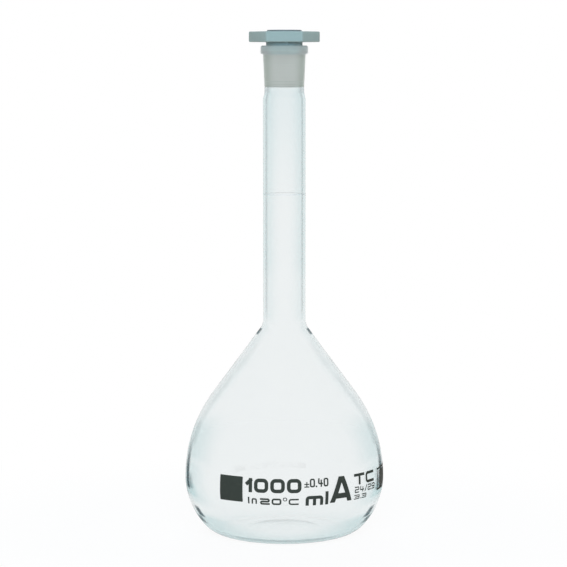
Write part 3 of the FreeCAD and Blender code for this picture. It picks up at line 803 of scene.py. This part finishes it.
def addRibs(bm):
    for side in (-1, 1):
        rib = bmesh.ops.create_cube(bm, size=1)["verts"]
        climb = stopper["headGap"] - stopper["ribGap"]
        bmesh.ops.scale(bm, vec=(stopper["ribWidth"], stopper["ribDepth"], climb), verts=rib)
        middle = Vector((-side * stopper["ribShift"], side * relief, headFoot - climb / 2))
        bmesh.ops.translate(bm, vec=middle, verts=rib)


def makeStopper():
    bm = bmesh.new()
    drawPlug(bm)
    drawWell(bm)
    spinSection(bm, stopper["turnSteps"])
    bmesh.ops.remove_doubles(bm, verts=bm.verts, dist=weldGap)
    bm.from_mesh(drawHead())
    for height in (headFoot, headTop):
        rings = [edge for edge in bm.edges
                 if edge.is_boundary and all(abs(vert.co.z - height) < weldGap for vert in edge.verts)]
        bmesh.ops.bridge_loops(bm, edges=rings)
    addRibs(bm)
    makePiece("hexagon_stopper", bm, mouldedPlastic(), "stopper", "stopper_plastic", "stopper")


makeStopper()

# Stage: a white floor and surround, and soft light
stage = {
    "floorRadius": 0.45,
    "floorSides": 96,
    "paper": (rgb(0.9, 0.9, 0.9), rgb(0.93, 0.93, 0.93)),
    "floorDrop": 0.05 * mm,  # keeps the floor off the foot ring's own face
    "floorGlow": 0.94,  # the share of the floor's white that is no answer to the light
    "throughGlow": 0.985,  # the same, seen through glass
    "fade": (0.12, 0.3),  # past the shadow the floor fades into the white surround
    "roomLevel": 0.37,
    "roomTint": rgb(1, 0.95, 0.88),
    "lamps": {
        "frontLamp": {"spot": (0, -1.6, 0.9), "power": 34.0, "colour": (0.53, 0.76, 1.0)},
        "backLamp": {"spot": (0, 1.6, 0.9), "power": 16.0, "colour": (0.85, 0.94, 1.0)},
    },
    "lampTarget": (0, 0, 0.2),
    "lampSize": 1.0,
}


def whiteRays(wire):  # rays that show the white background, straight on and by way of gloss or glass
    path = wire.node("ShaderNodeLightPath")
    return path["Is Camera Ray"], wire.maths("MAXIMUM", path["Is Glossy Ray"], path["Is Transmission Ray"])


def makeFloor():
    bm = bmesh.new()
    bmesh.ops.create_circle(bm, cap_ends=True, segments=stage["floorSides"], radius=stage["floorRadius"])
    bmesh.ops.translate(bm, vec=(0, 0, -stage["floorDrop"]), verts=bm.verts)
    mesh = bpy.data.meshes.new("whiteFloor")
    bm.to_mesh(mesh)
    bm.free()
    material, wire, place = newMaterial("whiteFloor")
    grain = wire.noise(place, scale=300, detail=2)
    paper = wire.node("ShaderNodeBsdfDiffuse", {}, {"Color": grain.tint(*stage["paper"])})
    glow = wire.node("ShaderNodeEmission", {}, {"Color": pureWhite, "Strength": 1.0})
    away = wire.node("ShaderNodeVectorMath", {"operation": "LENGTH"}, {0: place}, out="Value")
    straight, bent = whiteRays(wire)
    share = straight * away.ramp(*stage["fade"], stage["floorGlow"], 1.0) + bent * stage["throughGlow"]
    closeMaterial(wire, wire.node("ShaderNodeMixShader", {}, {0: share, 1: paper, 2: glow}))
    mesh.materials.append(material)
    floor = bpy.data.objects.new("whiteFloor", mesh)
    scene.collection.objects.link(floor)


def lightRoom():
    world = bpy.data.worlds.new("whiteRoom")
    world.use_nodes = True
    world.node_tree.nodes.clear()
    wire = Wire(world.node_tree)
    seen = wire.maths("MAXIMUM", *whiteRays(wire))
    room = wire.node("ShaderNodeBackground", {}, {
        "Color": seen.tint(stage["roomTint"], pureWhite),
        "Strength": seen.ramp(0, 1, stage["roomLevel"], 1.0),
    })
    wire.node("ShaderNodeOutputWorld", {}, {"Surface": room})
    scene.world = world


def aimAt(spot, target):  # the turn that points a lamp or the camera at its target
    return (Vector(target) - Vector(spot)).to_track_quat("-Z", "Y").to_euler()


def softLamp(name, spot, power, colour):
    lamp = bpy.data.lights.new(name, "AREA")
    lamp.size = stage["lampSize"]
    lamp.energy = power
    lamp.color = colour
    holder = bpy.data.objects.new(name, lamp)
    holder.location = spot
    holder.rotation_euler = aimAt(spot, stage["lampTarget"])
    holder.visible_glossy = False  # no lamp shows in the glass
    holder.visible_transmission = False
    scene.collection.objects.link(holder)


makeFloor()
lightRoom()
for lampName, lampSettings in stage["lamps"].items():
    softLamp(lampName, **lampSettings)
print("set the stage with", len(stage["lamps"]), "lamps")

camera = {
    "spot": (-0.0005, -1.4, 0.3),
    "lookAt": (-0.0005, 0, 0.158),
    "lens": 142.1,
    "sensor": 36.0,
    "farClip": 50.0,
}


def setCamera():
    data = bpy.data.cameras.new("photoCamera")
    data.lens = camera["lens"]
    data.sensor_width = camera["sensor"]
    data.clip_end = camera["farClip"]
    eye = bpy.data.objects.new("photoCamera", data)
    eye.location = camera["spot"]
    eye.rotation_euler = aimAt(camera["spot"], camera["lookAt"])
    scene.collection.objects.link(eye)
    bpy.context.scene.camera = eye
    print("set the camera, lens", camera["lens"])


setCamera()
scene.view_settings.view_transform = "Standard"
